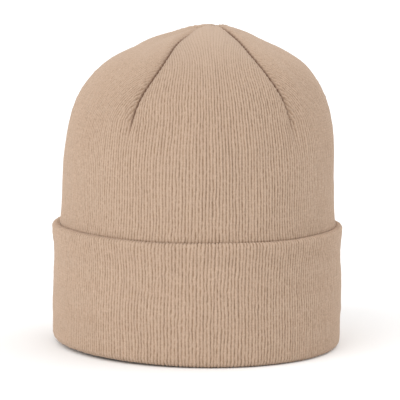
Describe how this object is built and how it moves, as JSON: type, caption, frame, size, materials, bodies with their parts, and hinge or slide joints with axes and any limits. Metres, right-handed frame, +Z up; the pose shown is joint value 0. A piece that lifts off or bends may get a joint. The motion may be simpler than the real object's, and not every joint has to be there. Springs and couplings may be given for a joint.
{
  "type": "cuffed knit hat",
  "caption": "Double-layer rib-knit beanie with a turned-up cuff, a dart-shaped crown and a blank care label inside; the cuff turns down over the ears.",
  "frame": {"origin": "centre of the lower fold, on the surface the hat stands on", "axes": "+Z up to the crown, -Y out of the hat's front, +X to the right seen from the front"},
  "size_m": [0.1784, 0.2086, 0.1968],
  "materials": {
    "knit": "matt fine rib knit",
    "lining_knit": "matt fine rib knit",
    "thread": "matt polyester sewing thread",
    "label_ribbon": "satin ribbon, blank"
  },
  "bodies": {
    "hat_body": {"outer_shell": "knit", "lining": "lining_knit", "shell_seam_front_right": "knit", "shell_seam_back_right": "knit", "shell_seam_back_left": "knit", "shell_seam_front_left": "knit", "shell_overlock_front_right": "thread", "shell_overlock_back_right": "thread", "shell_overlock_back_left": "thread", "shell_overlock_front_left": "thread", "lining_seam_front_right": "lining_knit", "lining_seam_back_right": "lining_knit", "lining_seam_back_left": "lining_knit", "lining_seam_front_left": "lining_knit", "lining_overlock_front_right": "thread", "lining_overlock_back_right": "thread", "lining_overlock_back_left": "thread", "lining_overlock_front_left": "thread", "turning_gap_stitches": "thread", "crown_tack": "thread", "care_label_tab": "label_ribbon", "care_label_stitches": "thread"},
    "cuff": {"cuff_outer_ply": "knit", "cuff_inner_ply": "lining_knit"},
    "label": {"care_label": "label_ribbon"}
  },
  "joints": [
    {"name": "cuff_turn_down", "type": "slide", "parent": "cuff", "child": "hat_body", "axis": [0, 0, 1], "range_m": [0, 0.066]},
    {"name": "label_swing", "type": "hinge", "parent": "hat_body", "child": "label", "pos_m": [0, 0.0916, 0.0918], "axis": [-1, 0, 0], "range_deg": [0, 100]}
  ]
}
